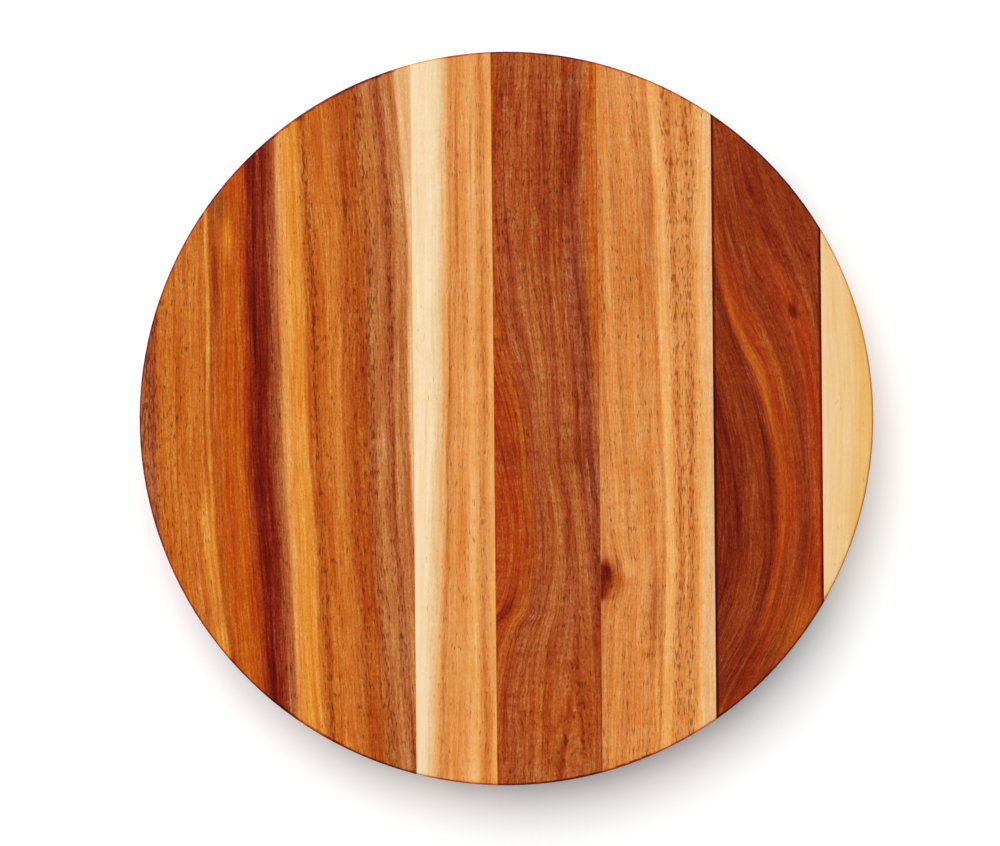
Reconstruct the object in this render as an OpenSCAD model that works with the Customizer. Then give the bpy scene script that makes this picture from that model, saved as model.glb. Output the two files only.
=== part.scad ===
// Round chopping block, face grain up: six hardwood boards glued edge to edge, then cut to a disc.
// Millimetres. The origin is the centre of the underside, +Z is up and the grain runs along Y.
// The boards are numbered from -X to +X. The two outer boards run out to the rim, and the first,
// which is the widest, is what the others leave of the disc.

/* [Block] */
// Diameter of the finished disc
block_d = 350; // [320:1:450]
// Thickness of the finished disc
block_h = 38; // [20:1:60]
// Radius of the eased edge round the top and bottom of the rim
rim_r = 1.5; // [0.5:0.5:6]

/* [Boards] */
// Width of board 2, pale along its left edge
pale_edge_w = 38.2; // [20:0.1:58]
// Width of board 3, red-brown
red_brown_w = 49.8; // [30:0.1:70]
// Width of board 4, honey coloured
honey_w = 54.4; // [35:0.1:74]
// Width of board 5, dark
dark_w = 51.5; // [30:0.1:71]
// Width of board 6, cream, from its glue line to the rim
cream_w = 24.5; // [10:0.1:40]

/* [Glue] */
// Thickness of each glue line
glue_t = 0.2; // [0.1:0.05:0.5]

/* [Hidden] */
block_r = block_d / 2;

// Widths of the boards that lie between two glue lines
inner_widths = [pale_edge_w, red_brown_w, honey_w, dark_w];

// X of the middle of each glue line, set out from the rim at +X: each lies one board and one
// glue line back from the next
last_joint = len(inner_widths);
function joint_x(n) = n == last_joint
    ? block_r - cream_w - glue_t / 2
    : joint_x(n + 1) - inner_widths[n] - glue_t;
joints = [for (n = [0 : last_joint]) joint_x(n)];

// Faces of each board, where the two outer boards reach past the rim before the disc is cut
past_rim = block_d;
board_left = concat([-past_rim], [for (x = joints) x + glue_t / 2]);
board_right = concat([for (x = joints) x - glue_t / 2], [past_rim]);

$fn = 180;

// Half of the disc's cross-section, with a quarter round at the top and bottom of the rim
module rim_profile() {
    square([block_r - rim_r, block_h]);
    translate([0, rim_r])
        square([block_r, block_h - 2 * rim_r]);
    for (z = [rim_r, block_h - rim_r])
        translate([block_r - rim_r, z])
            circle(rim_r);
}

// The slice of the turned disc that lies between two upright faces across X. The box that cuts it
// reaches one thickness below the disc and one above.
module slice(left, right) {
    intersection() {
        rotate_extrude()
            rim_profile();
        translate([left, -past_rim, -block_h])
            cube([right - left, 2 * past_rim, 3 * block_h]);
    }
}

// Board number n, counted from 1 at -X
module board(n) {
    slice(board_left[n - 1], board_right[n - 1]);
}

// The cured glue between board n and the next
module glue_line(n) {
    color("#5a2a12")
        slice(board_right[n - 1], board_left[n]);
}

module board_1_striped() {
    color("#bc6828")
        board(1);
}

module board_2_pale_edge() {
    color("#e5b07a")
        board(2);
}

module board_3_red_brown() {
    color("#a85127")
        board(3);
}

module board_4_honey() {
    color("#d58b4b")
        board(4);
}

module board_5_dark() {
    color("#923813")
        board(5);
}

module board_6_cream() {
    color("#e8c086")
        board(6);
}

board_1_striped();
board_2_pale_edge();
board_3_red_brown();
board_4_honey();
board_5_dark();
board_6_cream();
for (n = [1 : len(joints)])
    glue_line(n);
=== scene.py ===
"""Looks of a round chopping block: six glued hardwood boards under soft studio light, seen from above.

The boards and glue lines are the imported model's own pieces. Each board gets its own solid wood, worked
out in all three directions, so the rim and the underside cut through the same growth rings as the face.
"""

import logging
import math
from dataclasses import dataclass
from enum import Enum
from typing import ClassVar

import bmesh
import bpy
from mathutils import Matrix, Vector


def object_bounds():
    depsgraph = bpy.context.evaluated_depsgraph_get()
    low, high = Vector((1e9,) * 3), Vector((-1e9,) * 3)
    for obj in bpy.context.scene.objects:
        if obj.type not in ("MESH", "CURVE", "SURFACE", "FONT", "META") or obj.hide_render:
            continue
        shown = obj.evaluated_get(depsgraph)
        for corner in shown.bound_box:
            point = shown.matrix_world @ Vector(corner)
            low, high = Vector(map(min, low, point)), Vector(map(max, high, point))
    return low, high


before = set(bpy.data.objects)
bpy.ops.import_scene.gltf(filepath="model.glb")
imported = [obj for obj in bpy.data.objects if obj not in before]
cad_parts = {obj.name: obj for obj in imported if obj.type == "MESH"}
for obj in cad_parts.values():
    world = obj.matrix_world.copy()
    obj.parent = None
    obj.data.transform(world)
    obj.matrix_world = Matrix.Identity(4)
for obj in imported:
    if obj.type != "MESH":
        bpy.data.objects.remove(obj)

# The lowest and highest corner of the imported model, in metres
CAD_LOW, CAD_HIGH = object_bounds()
LOG = logging.getLogger("chopping_block")

# One millimetre, in metres
MM = 0.001
# The chopping face's height over the table, in millimetres
FACE_Z = CAD_HIGH.z / MM

Socket = bpy.types.NodeSocket
Node = bpy.types.Node
# What a node's socket can be given
Value = Socket | Node | float | tuple[float, ...]


class Tone(Enum):
    """The colours found in these boards, from pale sapwood to dark heartwood, as sRGB hex."""

    # Sapwood
    CREAM = "#f2d8ae"
    IVORY = "#ecc998"
    BUFF = "#eac187"
    SAND = "#e5b27a"
    STRAW = "#e6b56a"
    # Golden and tan wood
    APRICOT = "#e9a85f"
    HONEY = "#de924b"
    GOLD = "#df8f33"
    AMBER = "#dc8420"
    TAN = "#d0803c"
    OCHRE = "#cd762b"
    CLAY = "#bf733a"
    # Orange and brown heartwood
    COPPER = "#c5681c"
    ORANGE = "#bf580a"
    CARAMEL = "#b4622a"
    RUST = "#b25212"
    SIENNA = "#a64e24"
    BRICK = "#a83c0a"
    ROSEWOOD = "#9a4a2a"
    CHESTNUT = "#8e350f"
    # The darkest heartwood
    MAHOGANY = "#7a2408"
    MAROON = "#7c1b04"
    OXBLOOD = "#6c1203"
    UMBER = "#6a2d0a"
    # What isn't wood: dark glue, what the pores hold, and the white of the studio
    GLUE = "#5a2a12"
    RESIDUE = "#9c8474"
    PAPER = "#ffffff"


def linear(tone: Tone) -> tuple[float, float, float, float]:
    """Turns a tone's sRGB hex into the linear colour that a shader takes, by the sRGB standard's curve.

    Args:
        tone: the tone.

    Returns:
        Linear red, green, blue and an alpha of 1.
    """
    parts = (int(tone.value[i : i + 2], 16) / 255 for i in (1, 3, 5))
    red, green, blue = (p / 12.92 if p <= 0.04045 else ((p + 0.055) / 1.055) ** 2.4 for p in parts)
    return red, green, blue, 1.0


class Graph:
    """The node tree of one material or of the world."""

    def __init__(self, tree: bpy.types.NodeTree) -> None:
        """Takes over a tree and empties it.

        Args:
            tree: the node tree.
        """
        self.tree = tree
        tree.nodes.clear()

    def add(self, kind: str, *values: Value, **named: object) -> Node:
        """Adds a node with its settings and links.

        Args:
            kind: the node's type without its "ShaderNode".
            values: what goes to the node's shown sockets in their order, as sockets, nodes or constants.
            named: a name with a capital is a socket, with _ for a space, and any other is a setting.

        Returns:
            The node. Where it is given as a value, it stands for its first shown output.
        """
        node = self.tree.nodes.new("ShaderNode" + kind)
        for name, setting in named.items():
            if not name[0].isupper():
                setattr(node, name, setting)
        shown = [s for s in node.inputs if s.enabled]
        pairs = list(zip(shown, values))
        for name, value in named.items():
            if name[0].isupper():
                pairs.append((next(s for s in shown if s.name == name.replace("_", " ")), value))
        for socket, value in pairs:
            if isinstance(value, Node):
                value = next(s for s in value.outputs if s.enabled)
            if isinstance(value, Socket):
                self.tree.links.new(value, socket)
            else:
                socket.default_value = value
        return node


def blank_material(name: str) -> tuple[bpy.types.Material, Graph]:
    """Makes a material whose node tree is still empty.

    Args:
        name: its name, which says what it is and how its surface was made.

    Returns:
        The material and its node tree.
    """
    material = bpy.data.materials.new(name)
    material.use_nodes = True
    return material, Graph(material.node_tree)


def cover(node: str, material: bpy.types.Material) -> None:
    """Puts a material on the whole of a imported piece.

    Args:
        node: the piece.
        material: the material.
    """
    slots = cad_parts[node].data.materials
    for index in range(len(slots)):
        slots[index] = material


def add_object(name: str, data: bpy.types.ID) -> bpy.types.Object:
    """Makes an object and adds it to the scene.

    Args:
        name: its name.
        data: its mesh, light or camera.

    Returns:
        The object.
    """
    thing = bpy.data.objects.new(name, data)
    bpy.context.scene.collection.objects.link(thing)
    return thing


@dataclass(frozen=True)
class Band:
    """A colour met on the way across the grain.

    at: its place across the board, in millimetres, on the line where the board's bends are nil.
    pores: how crowded the dark pores are there, from 0 to 1.
    """

    at: float
    tone: Tone
    pores: float


@dataclass(frozen=True)
class Bend:
    """How far the grain lines near one place across the board swing to +X along the grain.

    at: the place across the board, in millimetres.
    swing: places along the grain and the swing there, both in millimetres.
    """

    at: float
    swing: tuple[tuple[float, float], ...]


@dataclass(frozen=True)
class Bulge:
    """The grain lines parting round a knot.

    x, y: its middle, in millimetres.
    reach_x, reach_y: how far it is felt, in millimetres.
    push: how hard it parts the lines. It moves them by up to 0.43 of this, in millimetres.
    """

    x: float
    y: float
    reach_x: float
    reach_y: float
    push: float


@dataclass(frozen=True)
class Patch:
    """A soft-edged place of another tone that follows the grain, such as a flame, a stain or a knot.

    x, y: its middle on the chopping face, in millimetres.
    half_w, half_l: half its width and half its length, in millimetres.
    amount: how much of the tone it brings, from 0 to 1.
    blur: how soft its edge is, from 0 to 1.
    """

    x: float
    y: float
    half_w: float
    half_l: float
    tone: Tone
    amount: float
    blur: float = 1.0


@dataclass(frozen=True)
class Mark:
    """One kind of mark in the wood, made by a noise that is stretched to the mark's own size.

    across, along, deep: its size across the rings, along the grain and along the rings, in millimetres.
    turn: moves its noise away from those of the other marks.
    layers: how many finer layers the noise has.
    share: how much it takes of the amount that the finish gives.
    """

    across: float
    along: float
    deep: float
    turn: float
    layers: float = 2.0
    share: float = 1.0


@dataclass(frozen=True)
class OiledHardwood:
    """Hardwood sanded along the grain and rubbed with oil: satin, open-pored and deep in colour.

    The colour of heartwood is a stain in the cells, so darker wood is the same colour at a higher density.
    Streaks, growth lines and ripples change the density, which is the power of the band's colour; the
    ripples are painted sheen. The pores hold dark residue, and the rounded edges of the rim get painted
    shade.

    streaks, lines, fibres, ripple, mottle: how much each kind of mark changes the density; the ripples are
    painted sheen.
    line_gap: the usual gap between growth lines, in millimetres.
    pores: how dark the pores are, from 0 to 1.
    joint: what a joint adds to the density of the wood beside it.
    end_grain, rim: what is added where the cut runs across the grain, and, as painted shade, on the rim's
    rounded edges.
    wall: the share of the rim's painted shade that its upright wall takes.
    roughness, specular: satin with little glare, as of oil that is in the wood and leaves no film.
    """

    streaks: float
    lines: float
    fibres: float = 0.32
    line_gap: float = 3.4
    pores: float = 0.74
    ripple_sheen: float = 0.05
    mottle: float = 0.14
    joint: float = 0.0
    end_grain: float = 0.35
    rim: float = 1.7
    wall: float = 0.2
    roughness: float = 0.48
    specular: float = 0.12

    # Streaks of growth, and fibres. A single fibre is far too fine to show, so these are bundles.
    BROAD_STREAK: ClassVar[Mark] = Mark(4.5, 80.0, 12.0, turn=3.1, share=0.5)
    FINE_STREAK: ClassVar[Mark] = Mark(1.5, 40.0, 6.0, turn=7.7, share=0.6)
    FIBRE_BUNDLE: ClassVar[Mark] = Mark(0.6, 12.0, 2.0, turn=13.3, share=0.6)
    FINE_FIBRES: ClassVar[Mark] = Mark(0.35, 3.0, 0.8, turn=19.9, layers=1.0, share=0.4)
    # Ripples where the fibres weave, which cross the grain: painted sheen, as those bands come from how the
    # fibres catch the light. Specks of lighter and darker cells
    RIPPLE_SHEEN: ClassVar[Mark] = Mark(12.0, 3.0, 12.0, turn=23.1)
    SPECK: ClassVar[Mark] = Mark(0.9, 1.3, 0.9, turn=29.7, layers=1.0)
    # A pore is about a quarter of a millimetre wide, which is finer than a pixel, so it is drawn wider
    PORE: ClassVar[Mark] = Mark(0.75, 4.6, 0.8, turn=37.1, layers=1.0)
    PORE_CLUSTER: ClassVar[Mark] = Mark(5.0, 40.0, 9.0, turn=41.3, layers=1.0)
    # The size of growth lines along the grain and along the rings, in millimetres. They lie where their
    # noise is within LINE_EDGE of nought.
    LINE_ALONG: ClassVar[float] = 150.0
    LINE_DEEP: ClassVar[float] = 9.0
    LINE_TURN: ClassVar[float] = 47.9
    LINE_EDGE: ClassVar[float] = 0.28

    # The density of wood without a mark, a little under 1 because growth lines only darken
    FRESH: ClassVar[float] = 0.99
    # A pore opens where its noise passes a level: this one where no pores are wanted, lower by CROWDING
    # where they crowd and by CLUSTERING in a cluster, and it is fully dark PORE_EDGE above the level
    PORE_LEVEL: ClassVar[float] = 0.84
    CROWDING: ClassVar[float] = 0.85
    CLUSTERING: ClassVar[float] = 0.2
    PORE_EDGE: ClassVar[float] = 0.35
    # How deep a pore is sunk, in millimetres, how much of that the light shows, and its added roughness
    PORE_DEPTH: ClassVar[float] = 0.05
    PORE_RELIEF: ClassVar[float] = 0.5
    PORE_ROUGH: ClassVar[float] = 0.15
    # How far from a joint, in millimetres, its darkening starts to fade and ends
    JOINT_FADE: ClassVar[tuple[float, float]] = (0.3, 1.4)
    # How much a surface faces up or down, from 0 to 1, where the painted shade on the rounded edge is
    # darkest and where the flat face starts, and where the upright wall ends
    ROUND_EDGE: ClassVar[tuple[float, float]] = (0.6, 0.995)
    WALL_END: ClassVar[float] = 0.2


@dataclass
class Board:
    """One board of the block: its wood's figure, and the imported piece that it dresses.

    node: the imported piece.
    bands: the colours across the grain, from -X to +X.
    bends: the swing of the grain at places across the board, from -X to +X.
    lean: how far the growth rings lean to -X for each millimetre down through the board.
    seed: moves the board's streaks and pores, so that no two boards share them.
    finish: how strongly each kind of mark shows, and how the surface was finished.
    patches: places of another tone, each laid over the ones before it.
    bulges: knots that push the grain aside.
    """

    node: str
    bands: tuple[Band, ...]
    bends: tuple[Bend, ...]
    lean: float
    seed: float
    finish: OiledHardwood
    patches: tuple[Patch, ...] = ()
    bulges: tuple[Bulge, ...] = ()

    # Bends are drawn this far each way along the grain, and hold swings of up to SWING, in millimetres
    HALF_LENGTH: ClassVar[float] = 176.0
    SWING: ClassVar[float] = 60.0
    # How far the rings curl to -X as well, for each square millimetre of depth
    CURL: ClassVar[float] = 0.006
    # The widest span over which grain lines wander of themselves, and how long a turn of it is across,
    # along and down, in millimetres
    WANDER: ClassVar[float] = 2.6
    WANDER_SIZE: ClassVar[tuple[float, float, float]] = (14.0, 55.0, 30.0)
    # A soft round weight at its reach, which is 1 / e, and how far below and above it a patch's edge lies
    AT_REACH: ClassVar[float] = 0.37
    EDGE_BELOW: ClassVar[float] = 0.35
    EDGE_ABOVE: ClassVar[float] = 0.6
    # How deep a patch goes, in millimetres
    PATCH_DEPTH: ClassVar[float] = 34.0
    # The noise's usual low and high, and its mean
    NOISE_SPAN: ClassVar[tuple[float, float]] = (0.25, 0.75)
    NOISE_MEAN: ClassVar[float] = 0.5

    def dress(self) -> None:
        """Gives the board's piece its wood."""
        material, graph = blank_material("oiled_hardwood_" + self.node)
        self.build(graph)
        cover(self.node, material)
        counts = len(self.bands), len(self.bends), len(self.patches)
        LOG.info("%s: %d bands, %d bends, %d patches", self.node, *counts)

    def build(self, graph: Graph) -> None:
        """Makes the whole material.

        Args:
            graph: the material's empty node tree.
        """
        place = graph.add("TexCoord")
        in_mm = graph.add("VectorMath", place.outputs["Object"], (1 / MM,) * 3, operation="MULTIPLY")
        xyz = graph.add("SeparateXYZ", in_mm)
        across, along = xyz.outputs["X"], xyz.outputs["Y"]
        depth = graph.add("Math", FACE_Z, xyz.outputs["Z"], operation="SUBTRACT")
        growth = self.growth(graph, across, along, depth)
        cells = graph.add("CombineXYZ", growth, along, depth)
        colour = self.colour(graph, growth, along, depth)
        density = self.density(graph, cells, in_mm)
        density = self.soaked_and_shaded(graph, density, across, place.outputs["Normal"])
        stained = graph.add("Gamma", colour, density)
        self.surface(graph, stained, self.pores(graph, growth, cells))

    def growth(self, graph: Graph, across: Socket, along: Socket, depth: Node) -> Node:
        """Makes the growth coordinate, in millimetres across the rings, which every streak follows.

        Args:
            graph: the material's node tree.
            across: the place on X, in millimetres.
            along: the place on Y, in millimetres.
            depth: how far it is below the chopping face, in millimetres.

        Returns:
            The coordinate's last node.
        """
        growth = graph.add("Math", across, self.swing(graph, across, along), operation="SUBTRACT")
        for bulge in self.bulges:
            off_x = graph.add("Math", across, bulge.x, operation="SUBTRACT")
            off_y = graph.add("Math", along, bulge.y, operation="SUBTRACT")
            near = self.near(graph, off_x, bulge.reach_x, off_y, bulge.reach_y)
            side = graph.add("Math", off_x, bulge.reach_x, operation="DIVIDE")
            pushed = graph.add("Math", near, side, operation="MULTIPLY")
            growth = graph.add("Math", pushed, -bulge.push, growth, operation="MULTIPLY_ADD")
        leaned = graph.add("Math", depth, self.lean, growth, operation="MULTIPLY_ADD")
        squared = graph.add("Math", depth, depth, operation="MULTIPLY")
        curled = graph.add("Math", squared, self.CURL, leaned, operation="MULTIPLY_ADD")
        place = graph.add("CombineXYZ", across, along, depth)
        per_mm = tuple(1 / size for size in self.WANDER_SIZE)
        turn = (self.seed,) * 3
        slow = graph.add("VectorMath", place, per_mm, turn, operation="MULTIPLY_ADD")
        noise = graph.add("TexNoise", slow, Scale=1.0, Detail=2.0, Roughness=0.5)
        wander = graph.add("Math", noise, self.NOISE_MEAN, operation="SUBTRACT")
        return graph.add("Math", wander, self.WANDER, curled, operation="MULTIPLY_ADD")

    def growth_at(self, x: float, y: float) -> float:
        """Works out the growth coordinate on the chopping face, as growth() does but for its wander.

        Args:
            x: the place across the block, in millimetres.
            y: the place along the grain, in millimetres.

        Returns:
            The coordinate, in millimetres.
        """
        total, last = 0.0, None
        for bend in self.bends:
            spots = sorted(bend.swing)
            low = max((s for s in spots if s[0] <= y), default=spots[0])
            high = min((s for s in spots if s[0] >= y), default=spots[-1])
            gap = high[0] - low[0]
            swing = low[1] + (high[1] - low[1]) * ((y - low[0]) / gap if gap else 0.0)
            share = 1.0 if last is None else min(1.0, max(0.0, (x - last.at) / (bend.at - last.at)))
            total += (swing - total) * share
            last = bend
        for bulge in self.bulges:
            off_x, off_y = (x - bulge.x) / bulge.reach_x, (y - bulge.y) / bulge.reach_y
            total += bulge.push * math.exp(-off_x * off_x - off_y * off_y) * off_x
        return x - total

    def near(self, graph: Graph, off_x: Node, reach_x: float, off_y: Node, reach_y: float) -> Node:
        """Makes a soft round weight: 1 in the middle, AT_REACH at the reach and nothing far off.

        Args:
            graph: the material's node tree.
            off_x: how far the place is off the middle across the grain, in millimetres.
            reach_x: the reach that way, in millimetres.
            off_y: how far the place is off the middle along the grain, in millimetres.
            reach_y: the reach that way, in millimetres.

        Returns:
            The weight's last node.
        """
        part_x = graph.add("Math", off_x, reach_x, operation="DIVIDE")
        part_y = graph.add("Math", off_y, reach_y, operation="DIVIDE")
        square = graph.add("Math", part_x, part_x, operation="MULTIPLY")
        square = graph.add("Math", part_y, part_y, square, operation="MULTIPLY_ADD")
        negative = graph.add("Math", square, -1.0, operation="MULTIPLY")
        return graph.add("Math", negative, operation="EXPONENT")

    def swing(self, graph: Graph, across: Socket, along: Socket) -> Node:
        """Makes the swing of the grain, blended across the board from one bend to the next.

        Args:
            graph: the material's node tree.
            across: the place on X, in millimetres.
            along: the place on Y, in millimetres.

        Returns:
            The swing to +X, in millimetres.
        """
        share = graph.add("MapRange", along, -self.HALF_LENGTH, self.HALF_LENGTH, 0.0, 1.0)
        total, last = None, None
        for bend in self.bends:
            curve = graph.add("FloatCurve", Value=share)
            points = curve.mapping.curves[0].points
            for index, (y, swing) in enumerate(sorted(bend.swing)):
                spot = (0.5 + y / (2 * self.HALF_LENGTH), 0.5 + swing / (2 * self.SWING))
                if index < 2:
                    points[index].location = spot
                else:
                    points.new(*spot)
            curve.mapping.update()
            swing = graph.add("MapRange", curve, 0.0, 1.0, -self.SWING, self.SWING)
            if last is None:
                total = swing
            else:
                part = graph.add("MapRange", across, last.at, bend.at, 0.0, 1.0)
                total = graph.add("Mix", part, total, swing, data_type="FLOAT")
            last = bend
        return total

    def ramp(self, graph: Graph, growth: Node, colours: list[tuple[float, ...]]) -> Node:
        """Makes a run of colours across the grain, one for each band.

        Args:
            graph: the material's node tree.
            growth: the growth coordinate.
            colours: a linear colour for each of the board's bands.

        Returns:
            The run's node.
        """
        first, end = self.bands[0].at, self.bands[-1].at
        ramp = graph.add("ValToRGB", graph.add("MapRange", growth, first, end, 0.0, 1.0))
        elements = ramp.color_ramp.elements
        for index, (band, colour) in enumerate(zip(self.bands, colours)):
            spot = (band.at - first) / (end - first)
            element = elements[index] if index < 2 else elements.new(spot)
            element.position = spot
            element.color = colour
        return ramp

    def colour(self, graph: Graph, growth: Node, along: Socket, depth: Node) -> Node:
        """Makes the colour before any streak: the bands, and the patches over them.

        Args:
            graph: the material's node tree.
            growth: the growth coordinate.
            along: the place on Y, in millimetres.
            depth: how far it is below the chopping face, in millimetres.

        Returns:
            The colour's last node.
        """
        colour = self.ramp(graph, growth, [linear(band.tone) for band in self.bands])
        for patch in self.patches:
            middle = self.growth_at(patch.x, patch.y)
            off_x = graph.add("Math", growth, middle, operation="SUBTRACT")
            off_y = graph.add("Math", along, patch.y, operation="SUBTRACT")
            near = self.near(graph, off_x, patch.half_w, off_y, patch.half_l)
            start = self.AT_REACH - self.EDGE_BELOW * patch.blur
            full = self.AT_REACH + self.EDGE_ABOVE * patch.blur
            near = graph.add(
                "MapRange", near, start, full, 0.0, patch.amount, interpolation_type="SMOOTHSTEP"
            )
            fade = graph.add("MapRange", depth, 0.0, self.PATCH_DEPTH, 1.0, 0.0)
            near = graph.add("Math", near, fade, operation="MULTIPLY")
            colour = graph.add("Mix", near, colour, linear(patch.tone), data_type="RGBA")
        return colour

    def noise(self, graph: Graph, cells: Node, mark: Mark) -> Node:
        """Makes the noise of one kind of mark.

        Args:
            graph: the material's node tree.
            cells: the coordinates that the marks follow, in millimetres.
            mark: the kind of mark.

        Returns:
            The noise, about nought and from about -1 to 1.
        """
        per_mm = (1 / mark.across, 1 / mark.along, 1 / mark.deep)
        turn = (self.seed + mark.turn,) * 3
        scaled = graph.add("VectorMath", cells, per_mm, turn, operation="MULTIPLY_ADD")
        noise = graph.add("TexNoise", scaled, Scale=1.0, Detail=mark.layers, Roughness=0.55)
        return graph.add("MapRange", noise, *self.NOISE_SPAN, -1.0, 1.0, clamp=False)

    def density(self, graph: Graph, cells: Node, in_mm: Node) -> Node:
        """Makes the density of the stain in the cells, from broad streaks down to single fibres.

        Args:
            graph: the material's node tree.
            cells: the coordinates across the rings, along the grain and along the rings.
            in_mm: the place, in millimetres.

        Returns:
            The density, about 1.
        """
        finish = self.finish
        marks = (
            (cells, finish.BROAD_STREAK, finish.streaks),
            (cells, finish.FINE_STREAK, finish.streaks),
            (cells, finish.FIBRE_BUNDLE, finish.fibres),
            (cells, finish.FINE_FIBRES, finish.fibres),
            # The ripples are painted sheen, put into the density as colour
            (in_mm, finish.RIPPLE_SHEEN, finish.ripple_sheen),
            (in_mm, finish.SPECK, finish.mottle),
        )
        density: Value = finish.FRESH
        for followed, mark, amount in marks:
            noise = self.noise(graph, followed, mark)
            density = graph.add("Math", noise, amount * mark.share, density, operation="MULTIPLY_ADD")
        line_mark = Mark(
            finish.line_gap, finish.LINE_ALONG, finish.LINE_DEEP, turn=finish.LINE_TURN, layers=1.0
        )
        off_line = graph.add("Math", self.noise(graph, cells, line_mark), operation="ABSOLUTE")
        line = graph.add("MapRange", off_line, 0.0, finish.LINE_EDGE, finish.lines, 0.0)
        return graph.add("Math", line, density, operation="ADD")

    def soaked_and_shaded(self, graph: Graph, density: Node, across: Socket, normal: Socket) -> Node:
        """Adds what glue and oil leave, darker wood beside the joints and in end grain, and painted shade
        on the rim.

        Args:
            graph: the material's node tree.
            density: the density of the wood itself.
            across: the place on X, in millimetres.
            normal: the surface's direction.

        Returns:
            The density with these added.
        """
        finish = self.finish
        if finish.joint:
            box = [corner[0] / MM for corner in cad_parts[self.node].bound_box]
            for face in (min(box), max(box)):
                off = graph.add("Math", across, face, operation="SUBTRACT")
                off = graph.add("Math", off, operation="ABSOLUTE")
                near = graph.add("MapRange", off, *finish.JOINT_FADE, finish.joint, 0.0)
                density = graph.add("Math", near, density, operation="ADD")
        facing = graph.add("SeparateXYZ", normal)
        end = graph.add("Math", facing.outputs["Y"], facing.outputs["Y"], operation="MULTIPLY")
        density = graph.add("Math", end, finish.end_grain, density, operation="MULTIPLY_ADD")
        # Painted shade: the rim's rounded edges darken as they turn from facing up, a dark outline round
        # the face, and the upright wall takes a share of it
        flat = graph.add("Math", facing.outputs["Z"], operation="ABSOLUTE")
        rim = graph.add("MapRange", flat, *finish.ROUND_EDGE, finish.rim, 0.0)
        wall = graph.add("MapRange", flat, 0.0, finish.WALL_END, finish.wall, 1.0)
        return graph.add("Math", rim, wall, density, operation="MULTIPLY_ADD")

    def pores(self, graph: Graph, growth: Node, cells: Node) -> Node:
        """Makes the open pores, as short dark flecks along the grain, crowded where the bands say.

        Args:
            graph: the material's node tree.
            growth: the growth coordinate.
            cells: the coordinates across the rings, along the grain and along the rings.

        Returns:
            1 in a pore, 0 beside it.
        """
        finish = self.finish
        crowds = [(band.pores, band.pores, band.pores, 1.0) for band in self.bands]
        crowd = self.ramp(graph, growth, crowds)
        cluster = self.noise(graph, cells, finish.PORE_CLUSTER)
        level = graph.add("Math", crowd, -finish.CROWDING, finish.PORE_LEVEL, operation="MULTIPLY_ADD")
        level = graph.add("Math", cluster, -finish.CLUSTERING, level, operation="MULTIPLY_ADD")
        fleck = self.noise(graph, cells, finish.PORE)
        past = graph.add("Math", fleck, level, operation="SUBTRACT")
        return graph.add("MapRange", past, 0.0, finish.PORE_EDGE, 0.0, 1.0)

    def surface(self, graph: Graph, stained: Node, pores: Node) -> None:
        """Makes the oiled surface: satin, with the dark pores sunk in it.

        Args:
            graph: the material's node tree.
            stained: the stained colour.
            pores: 1 in a pore, 0 beside it.
        """
        finish = self.finish
        filled = graph.add("Math", pores, finish.pores, operation="MULTIPLY")
        dark = linear(Tone.RESIDUE)
        colour = graph.add("Mix", filled, stained, dark, data_type="RGBA", blend_type="MULTIPLY")
        dent = graph.add(
            "Bump", Strength=finish.PORE_RELIEF, Distance=finish.PORE_DEPTH * MM, Height=pores, invert=True
        )
        rough = graph.add("Math", pores, finish.PORE_ROUGH, finish.roughness, operation="MULTIPLY_ADD")
        oiled = graph.add(
            "BsdfPrincipled",
            Base_Color=colour,
            Roughness=rough,
            Specular_IOR_Level=finish.specular,
            Normal=dent,
        )
        graph.add("OutputMaterial", Surface=oiled)


@dataclass(frozen=True)
class CuredGlue:
    """Wood glue set hard and cut flush: a clear, faintly shiny film, with the wood's tone deep in it.

    cells_per_m: how closely its thin and thick places follow each other, about one in 8 mm.
    thin, thick: the density of its colour there.
    """

    cells_per_m: float = 120.0
    thin: float = 0.8
    thick: float = 1.25
    roughness: float = 0.4
    specular: float = 0.3

    # The noise's low and high, between which the glue goes from thin to thick
    SPAN: ClassVar[tuple[float, float]] = (0.3, 0.7)


@dataclass
class GlueLine:
    """The glue in one edge joint, seen as a hairline.

    node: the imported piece.
    tone: its colour, which the thin film takes from the wood beside it.
    """

    node: str
    tone: Tone
    finish: CuredGlue = CuredGlue()

    def dress(self) -> None:
        """Gives the glue its look, a little uneven along the joint."""
        finish = self.finish
        material, graph = blank_material("cured_wood_glue_" + self.node)
        place = graph.add("TexCoord").outputs["Object"]
        noise = graph.add("TexNoise", place, Scale=finish.cells_per_m, Detail=2.0)
        density = graph.add("MapRange", noise, *finish.SPAN, finish.thin, finish.thick)
        colour = graph.add("Gamma", linear(self.tone), density)
        glue = graph.add(
            "BsdfPrincipled",
            Base_Color=colour,
            Roughness=finish.roughness,
            Specular_IOR_Level=finish.specular,
        )
        graph.add("OutputMaterial", Surface=glue)
        cover(self.node, material)
        LOG.info("%s: %s glue", self.node, self.tone.name.lower())


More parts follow.
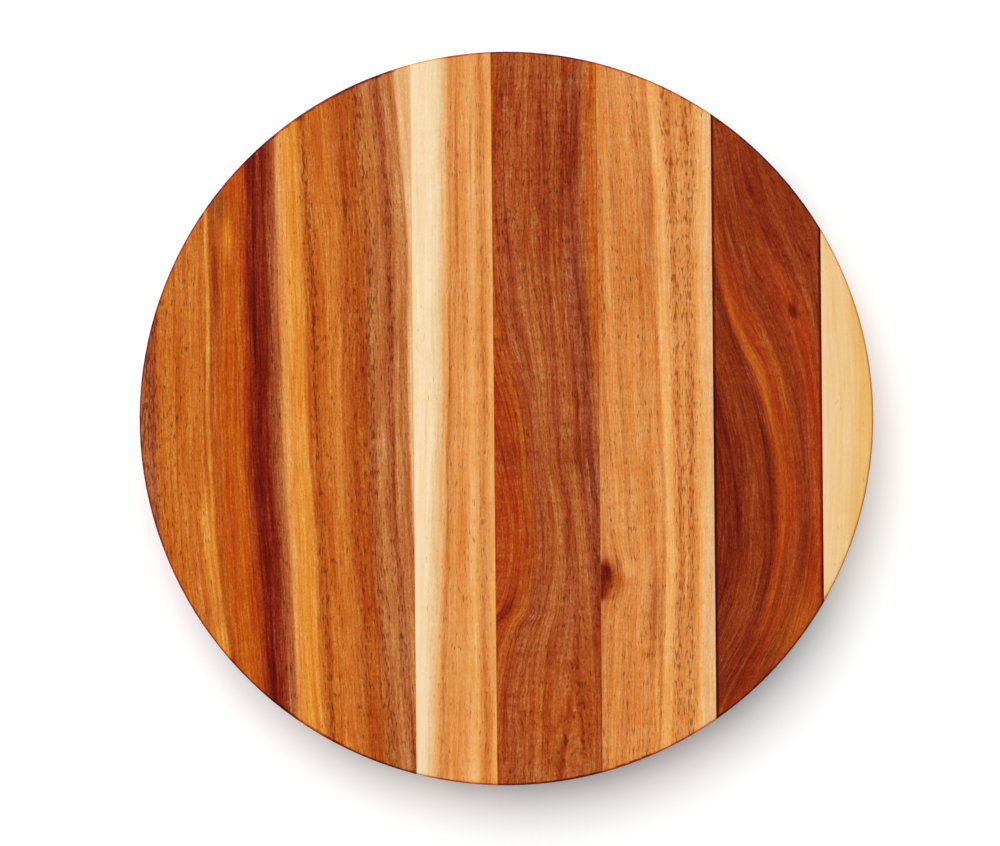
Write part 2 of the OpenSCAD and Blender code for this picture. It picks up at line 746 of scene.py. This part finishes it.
def striped_board() -> Board:
    """The wide board at -X: orange heartwood with a dark red band, a golden band and brown stripes."""
    bands = (
        # Brown at the rim, full of pores
        Band(-176, Tone.CLAY, 0.9),
        Band(-167.4, Tone.SIENNA, 0.9),
        # Orange, with one golden line
        Band(-165, Tone.COPPER, 0.6),
        Band(-144.5, Tone.COPPER, 0.3),
        Band(-143.5, Tone.RUST, 0.1),
        Band(-142.2, Tone.GOLD, 0.0),
        Band(-140.6, Tone.RUST, 0.1),
        Band(-134, Tone.ORANGE, 0.1),
        Band(-128, Tone.ORANGE, 0.1),
        # The dark red band
        Band(-124, Tone.BRICK, 0.2),
        Band(-121, Tone.MAROON, 0.1),
        Band(-119, Tone.OXBLOOD, 0.0),
        Band(-117, Tone.MAROON, 0.0),
        Band(-114.5, Tone.MAROON, 0.1),
        Band(-112.5, Tone.CHESTNUT, 0.5),
        Band(-110.5, Tone.SIENNA, 0.7),
        Band(-108, Tone.CARAMEL, 0.4),
        # The golden band
        Band(-106, Tone.HONEY, 0.2),
        Band(-102, Tone.GOLD, 0.15),
        Band(-96, Tone.GOLD, 0.15),
        Band(-93.5, Tone.COPPER, 0.3),
        # Tan and brown stripes, with dense rows of pores
        Band(-90.8, Tone.RUST, 1.0),
        Band(-88, Tone.COPPER, 0.5),
        Band(-79.5, Tone.OCHRE, 0.3),
        Band(-73, Tone.RUST, 0.6),
        Band(-68, Tone.RUST, 0.5),
        Band(-64.3, Tone.CARAMEL, 1.0),
        Band(-59.5, Tone.CLAY, 0.3),
        Band(-54.5, Tone.SIENNA, 0.9),
        Band(-52.5, Tone.CLAY, 0.4),
        Band(-47.2, Tone.CLAY, 0.3),
        Band(-45.5, Tone.SAND, 0.0),
    )
    bends = (
        Bend(-145, ((-176, 17), (-110, 8), (-60, 2), (-20, 0), (60, 0), (176, 0))),
        Bend(-115, ((-176, 12), (-130, 8), (-70, 4.5), (-20, 1.2), (30, 0), (176, 0))),
        Bend(-97, ((-176, 8), (-130, 5), (-60, 2.5), (0, 0), (70, -1.5), (100, -3), (130, -5), (176, -8))),
        Bend(-55, ((-176, 10), (-130, 7), (-100, 5), (-50, 1.5), (0, 0), (90, -0.5), (130, -3), (176, -7))),
    )
    patches = (
        # Stains and golden places in the orange wood
        Patch(-136, 103, 4, 9, Tone.UMBER, 0.5),
        Patch(-151, 65, 7, 34, Tone.OCHRE, 0.6),
        Patch(-137.5, 65, 1.6, 32, Tone.CHESTNUT, 0.75),
        Patch(-132.5, 87, 2.5, 10, Tone.AMBER, 0.7),
        Patch(-142, -62, 3.6, 34, Tone.GOLD, 0.8),
        Patch(-136, -108, 3.2, 16, Tone.GOLD, 0.8),
        Patch(-130, -60, 3.5, 60, Tone.ORANGE, 0.6),
        # Changes along the brown stripes
        Patch(-73, 110, 4, 22, Tone.RUST, 0.6),
        Patch(-76, 101, 0.9, 7, Tone.UMBER, 0.7),
        Patch(-65, -150, 7, 26, Tone.RUST, 0.7),
        Patch(-65, 118, 6, 32, Tone.OCHRE, 0.4),
        Patch(-53, 115, 2, 34, Tone.CARAMEL, 0.45),
        Patch(-57, -80, 5, 55, Tone.CLAY, 0.6),
        Patch(-58, 140, 1.6, 18, Tone.SIENNA, 0.8),
    )
    finish = OiledHardwood(streaks=0.32, lines=0.14)
    return Board("board_1_striped", bands, bends, lean=0.45, seed=11.0, finish=finish, patches=patches)


def pale_edge_board() -> Board:
    """The narrow tan board with cream sapwood down its left edge."""
    bands = (
        # Sapwood
        Band(-46, Tone.CREAM, 0.0),
        Band(-36.5, Tone.CREAM, 0.0),
        Band(-33.5, Tone.IVORY, 0.0),
        Band(-31, Tone.SAND, 0.1),
        # Tan heartwood in fine stripes
        Band(-29, Tone.APRICOT, 0.3),
        Band(-27, Tone.TAN, 0.4),
        Band(-24.5, Tone.HONEY, 0.3),
        Band(-19.5, Tone.HONEY, 0.4),
        Band(-16, Tone.APRICOT, 0.2),
        Band(-13, Tone.HONEY, 0.4),
        Band(-11, Tone.TAN, 0.6),
        Band(-9, Tone.HONEY, 0.4),
        Band(-6.5, Tone.APRICOT, 0.1),
    )
    bends = (
        Bend(-33, ((-176, -6), (-100, -4), (-50, -2), (0, 0), (60, 1), (120, 2), (176, 3.5))),
        Bend(-15, ((-176, 0), (0, 0), (176, 0))),
    )
    patches = (
        Patch(-23, 115, 0.8, 50, Tone.CARAMEL, 0.55),
        Patch(-16, 125, 0.7, 42, Tone.CARAMEL, 0.55),
        Patch(-27, 0, 0.7, 60, Tone.CARAMEL, 0.5),
        Patch(-20, 60, 5, 35, Tone.TAN, 0.4),
    )
    finish = OiledHardwood(streaks=0.24, lines=0.14, fibres=0.24, pores=0.6, mottle=0.10)
    return Board("board_2_pale_edge", bands, bends, lean=-0.35, seed=23.0, finish=finish, patches=patches)


def red_brown_board() -> Board:
    """The red-brown board: straight ribbons above, slanting lines below, and arcs at its left edge."""
    bands = (
        # Brick red, which only the arcs bring into view
        Band(-36, Tone.BRICK, 0.1),
        Band(-13, Tone.BRICK, 0.1),
        # Brown and red-brown ribbons
        Band(-7, Tone.RUST, 0.5),
        Band(2, Tone.SIENNA, 0.6),
        Band(12, Tone.CARAMEL, 0.5),
        Band(18, Tone.SIENNA, 0.6),
        Band(24, Tone.CARAMEL, 0.5),
        Band(28, Tone.SIENNA, 0.7),
        Band(34, Tone.ROSEWOOD, 0.6),
        Band(38, Tone.CARAMEL, 0.5),
        # An orange right edge
        Band(41, Tone.COPPER, 0.3),
        Band(44, Tone.COPPER, 0.3),
    )
    left = (
        (-176, 0), (-120, 2), (-100, 7), (-88, 15), (-60, 20),
        (-20, 16), (5, 11.5), (30, 4.5), (60, 0), (176, 0),
    )
    middle = ((-176, 4), (-110, 6), (-88, 10), (-60, 13), (-20, 8), (30, 4.5), (60, 2), (85, 0), (176, 0))
    right = ((-176, 16), (-110, 15), (-80, 12.5), (-55, 10), (-20, 7), (20, 4), (45, 2), (80, 0), (176, 0))
    bends = (Bend(5, left), Bend(20, middle), Bend(38, right))
    patches = (
        # The redder upper part
        Patch(15, 122, 34, 52, Tone.BRICK, 0.4),
        Patch(24, 118, 12, 34, Tone.CHESTNUT, 0.4),
        Patch(31, 168, 4, 5, Tone.BRICK, 0.7),
        # Dark places in the middle, and a lighter one
        Patch(38, 45, 2.6, 24, Tone.CHESTNUT, 0.75),
        Patch(35, -17, 8, 10, Tone.CHESTNUT, 0.6),
        Patch(17, 20, 3.5, 50, Tone.CLAY, 0.3),
        Patch(0, -20, 6, 8, Tone.CHESTNUT, 0.6),
        # The arcs, and the knot that they bend round
        Patch(1, -58, 11, 38, Tone.BRICK, 1.0, 0.7),
        Patch(5, -60, 2.2, 22, Tone.ORANGE, 0.6),
        Patch(-2, -92, 3, 8, Tone.MAROON, 0.8),
        # Lighter wood at the lower end
        Patch(24, -140, 16, 30, Tone.RUST, 0.7),
    )
    finish = OiledHardwood(
        streaks=0.20, lines=0.26, fibres=0.34, line_gap=4.6, pores=0.7, ripple_sheen=0.10, mottle=0.16
    )
    return Board("board_3_red_brown", bands, bends, lean=0.8, seed=37.0, finish=finish, patches=patches)


def honey_board() -> Board:
    """The golden tan board with a light streak, a cream right edge and a small red knot."""
    bands = (
        # Tan and honey stripes
        Band(44, Tone.TAN, 0.3),
        Band(48, Tone.TAN, 0.6),
        Band(50.5, Tone.HONEY, 0.2),
        Band(55.5, Tone.TAN, 0.5),
        Band(61.5, Tone.HONEY, 0.3),
        Band(66.5, Tone.TAN, 0.6),
        Band(70, Tone.HONEY, 0.3),
        Band(72.5, Tone.TAN, 0.4),
        # The light streak
        Band(74.5, Tone.APRICOT, 0.1),
        Band(77.5, Tone.APRICOT, 0.1),
        # Two rows of pores
        Band(79.5, Tone.HONEY, 0.7),
        Band(82, Tone.TAN, 0.9),
        Band(85, Tone.HONEY, 0.6),
        Band(88, Tone.TAN, 1.0),
        Band(90.5, Tone.HONEY, 0.5),
        # The pale right edge
        Band(93, Tone.APRICOT, 0.2),
        Band(96, Tone.SAND, 0.05),
        Band(99, Tone.SAND, 0.05),
    )
    middle = (
        (-176, -2), (-140, -0.5), (-100, 1), (-60, 2), (0, 0), (50, -1), (100, -2), (150, -5), (176, -7),
    )
    right = ((-176, -3), (-100, -2), (0, 0), (50, -1), (130, 1), (176, 1))
    bends = (Bend(75, middle), Bend(94, right))
    bulges = (Bulge(45, -75, reach_x=11, reach_y=13, push=8),)
    patches = (
        # A copper place, and thin brown lines
        Patch(61, 74, 11, 30, Tone.COPPER, 0.6),
        Patch(68, 97, 2, 40, Tone.ROSEWOOD, 0.35),
        Patch(51.5, 108, 1, 18, Tone.CARAMEL, 0.7),
        Patch(70, -92, 3.4, 22, Tone.CARAMEL, 0.7),
        # The knot, from its halo in to its core
        Patch(50, -79, 8, 10, Tone.RUST, 0.7),
        Patch(58, -72, 5, 5, Tone.APRICOT, 0.6),
        Patch(47, -75, 4.2, 9, Tone.BRICK, 0.85, 0.8),
        Patch(46, -74, 2.2, 6, Tone.OXBLOOD, 0.95, 0.8),
        Patch(44.8, -83, 1.8, 5, Tone.MAROON, 0.9, 0.8),
        Patch(53, -70, 1.6, 3, Tone.SIENNA, 0.6),
    )
    finish = OiledHardwood(streaks=0.24, lines=0.14, fibres=0.30, pores=0.7, ripple_sheen=0.08, mottle=0.12)
    return Board(
        "board_4_honey", bands, bends, lean=-0.6, seed=53.0, finish=finish, patches=patches, bulges=bulges
    )


def dark_board() -> Board:
    """The dark board, with an orange flame that crosses it and arched lines below."""
    bands = (
        # Dark wood left of the flame
        Band(94, Tone.OXBLOOD, 0.3),
        Band(103, Tone.MAHOGANY, 0.4),
        Band(110, Tone.MAHOGANY, 0.4),
        Band(115, Tone.CHESTNUT, 0.4),
        Band(122, Tone.CHESTNUT, 0.3),
        Band(126.5, Tone.MAHOGANY, 0.2),
        # The flame
        Band(129.5, Tone.BRICK, 0.1),
        Band(131.5, Tone.RUST, 0.1),
        Band(134, Tone.BRICK, 0.2),
        # Redder wood right of it
        Band(142, Tone.CHESTNUT, 0.3),
        Band(150, Tone.BRICK, 0.3),
        Band(157, Tone.CHESTNUT, 0.3),
        Band(175, Tone.MAHOGANY, 0.3),
    )
    left = (
        (-176, -42), (-140, -30), (-120, -20), (-105, -12), (-90, -6), (-70, -1), (-45, 0),
        (-20, -2), (0, -6), (20, -11), (35, -17), (60, -25), (176, -48),
    )
    right = (
        (-176, -32), (-110, -12), (-70, -2), (-45, 0), (0, -2), (40, -8), (60, -11), (100, -20), (176, -32),
    )
    bends = (Bend(115, left), Bend(145, right))
    patches = (
        # The upper part, with its dark lines and a small knot
        Patch(104, 108, 30, 40, Tone.CHESTNUT, 0.9),
        Patch(130, 112, 22, 30, Tone.CHESTNUT, 0.6),
        Patch(131, 78, 2.4, 20, Tone.MAROON, 0.7),
        Patch(119, 110, 2.4, 12, Tone.MAROON, 0.6),
        Patch(137, 50, 1.3, 4, Tone.OXBLOOD, 0.95, 0.6),
        # The darkest wood, along the left joint
        Patch(105, -50, 6, 40, Tone.OXBLOOD, 0.6),
        Patch(105, -122, 14, 26, Tone.MAHOGANY, 0.85),
        # Bright places in and beside the flame
        Patch(139, -98, 9, 18, Tone.RUST, 0.6),
        Patch(133, 5, 2, 26, Tone.RUST, 0.5),
        Patch(121, 18, 1.5, 26, Tone.COPPER, 0.6),
        Patch(108, 52, 1.6, 10, Tone.ORANGE, 0.7),
        # Where the flame dies away below
        Patch(130, -80, 4.5, 20, Tone.CHESTNUT, 0.55),
    )
    finish = OiledHardwood(
        streaks=0.22, lines=0.12, fibres=0.28, line_gap=3.8, pores=0.6, mottle=0.12, joint=0.9
    )
    return Board("board_5_dark", bands, bends, lean=0.7, seed=71.0, finish=finish, patches=patches)


def cream_board() -> Board:
    """The outer board at +X, all sapwood, golden towards the rim."""
    bands = (
        Band(150, Tone.IVORY, 0.0),
        Band(158, Tone.BUFF, 0.05),
        Band(164, Tone.BUFF, 0.05),
        Band(168, Tone.STRAW, 0.1),
        Band(176, Tone.STRAW, 0.1),
    )
    bends = (Bend(163, ((-90, -6), (-40, -1), (0, 0), (40, -1), (90, -6))),)
    finish = OiledHardwood(streaks=0.16, lines=0.10, fibres=0.10, pores=0.3, ripple_sheen=0.03, mottle=0.05)
    return Board("board_6_cream", bands, bends, lean=-0.5, seed=89.0, finish=finish)


@dataclass(frozen=True)
class Lamp:
    """A large soft lamp high on the upper left, so far off that its light is even over the block.

    The photograph's shadow gives it.

    shadow_x, shadow_y: how far the top of the rim throws its shadow over the table, in millimetres.
    spread: how wide the lamp looks from the block, as an angle in radians.
    strength: its light on a surface that faces it, in watts for each square metre.
    """

    name: str
    shadow_x: float
    shadow_y: float
    spread: float
    strength: float

    def hang(self) -> None:
        """Hangs the lamp. It gives no glare on the face, as behind a polarising filter."""
        data = bpy.data.lights.new(self.name, "SUN")
        data.angle = self.spread
        data.energy = self.strength
        lamp = add_object(self.name, data)
        travel = Vector((self.shadow_x, self.shadow_y, -FACE_Z))
        lamp.rotation_euler = travel.to_track_quat("-Z", "Y").to_euler()
        lamp.visible_glossy = False
        LOG.info("%s: its shadow falls %.0f mm off", self.name, math.hypot(self.shadow_x, self.shadow_y))


@dataclass(frozen=True)
class Studio:
    """The white table, soft light from high on the upper left, and a camera straight above the block.

    The photograph's frame gives the camera, so the fields that end in _px are pixels of the photograph.

    frame_w_px, frame_h_px: its width and height.
    disc_x_px, disc_y_px, disc_radius_px: the middle and the radius of the disc in it.
    joint_lean: how far the joints lean from upright in it, in radians.
    lens_mm, sensor_mm: the camera's focal length and the width of its sensor.
    sees: the nearest and the furthest that the camera sees, in metres.
    table_radius, table_sides: the table top's radius, in metres, and its number of sides.
    table_lift: what the table shines of itself to the camera, so that it comes out white.
    room_level: how bright the room's own light is, where white is 1.
    """

    frame_w_px: float = 1000.0
    frame_h_px: float = 846.0
    disc_x_px: float = 506.4
    disc_y_px: float = 418.5
    disc_radius_px: float = 367.3
    joint_lean: float = 0.0096
    lens_mm: float = 85.0
    sensor_mm: float = 36.0
    sees: tuple[float, float] = (0.01, 100.0)
    table_radius: float = 6.0
    table_sides: int = 96
    table_lift: float = 0.05
    room_level: float = 0.10

    LAMPS: ClassVar[tuple[Lamp, ...]] = (
        Lamp("key_softbox", shadow_x=9.5, shadow_y=-19.0, spread=0.95, strength=1.95),
        Lamp("fill_umbrella", shadow_x=6.5, shadow_y=-13.0, spread=1.4, strength=1.35),
    )

    def build(self) -> None:
        """Builds the table, the light and the camera."""
        self.table()
        for lamp in self.LAMPS:
            lamp.hang()
        self.room()
        self.camera()

    def table(self) -> None:
        """Makes the white table top that the block stands on."""
        mesh = bpy.data.meshes.new("table_top")
        shape = bmesh.new()
        bmesh.ops.create_circle(shape, cap_ends=True, segments=self.table_sides, radius=self.table_radius)
        shape.to_mesh(mesh)
        shape.free()
        table = add_object("table_top", mesh)
        # Flat white paint has no shine, so it shows only the soft shadow
        material, graph = blank_material("matt_white_paint")
        paint = graph.add("BsdfDiffuse", linear(Tone.PAPER))
        seen = graph.add("LightPath").outputs["Is Camera Ray"]
        lift = graph.add("Math", seen, self.table_lift, operation="MULTIPLY")
        bright = graph.add("AddShader", paint, graph.add("Emission", linear(Tone.PAPER), lift))
        graph.add("OutputMaterial", Surface=bright)
        mesh.materials.append(material)
        LOG.info("table: %.0f m across", 2 * self.table_radius)

    def room(self) -> None:
        """Makes the room's own light: dim and even, but white where the camera sees past the table."""
        world = bpy.data.worlds.new("white_studio")
        bpy.context.scene.world = world
        world.use_nodes = True
        graph = Graph(world.node_tree)
        seen = graph.add("LightPath").outputs["Is Camera Ray"]
        level = graph.add("MapRange", seen, 0.0, 1.0, self.room_level, 1.0)
        graph.add("OutputWorld", Surface=graph.add("Background", linear(Tone.PAPER), level))

    def camera(self) -> None:
        """Hangs the camera so that the disc lies in the frame where the photograph has it."""
        px_per_mm = self.disc_radius_px / (CAD_HIGH.x / MM)
        across_mm = self.frame_w_px / px_per_mm
        off_x = (self.frame_w_px / 2 - self.disc_x_px) / px_per_mm
        off_y = (self.disc_y_px - self.frame_h_px / 2) / px_per_mm
        data = bpy.data.cameras.new("overhead_camera")
        data.lens = self.lens_mm
        data.sensor_width = self.sensor_mm
        data.clip_start, data.clip_end = self.sees
        camera = add_object("overhead_camera", data)
        height = CAD_HIGH.z + across_mm * MM * self.lens_mm / self.sensor_mm
        turned = Matrix.Rotation(-self.joint_lean, 3, "Z") @ Vector((off_x * MM, off_y * MM, 0.0))
        camera.location = (turned.x, turned.y, height)
        camera.rotation_euler = (0.0, 0.0, -self.joint_lean)
        bpy.context.scene.camera = camera
        LOG.info("camera: %.0f mm above the chopping face", (height - CAD_HIGH.z) / MM)


def main() -> None:
    """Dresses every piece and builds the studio."""
    logging.basicConfig(level=logging.INFO, format="%(message)s")
    boards = (
        striped_board(),
        pale_edge_board(),
        red_brown_board(),
        honey_board(),
        dark_board(),
        cream_board(),
    )
    glue_lines = (
        GlueLine("glue_line_1_2", Tone.APRICOT),
        GlueLine("glue_line_2_3", Tone.CARAMEL),
        GlueLine("glue_line_3_4", Tone.CHESTNUT),
        GlueLine("glue_line_4_5", Tone.GLUE),
        GlueLine("glue_line_5_6", Tone.GLUE),
    )
    for piece in (*boards, *glue_lines):
        piece.dress()
    Studio().build()
    bpy.context.scene.view_settings.view_transform = "Standard"


if __name__ == "__main__":
    main()
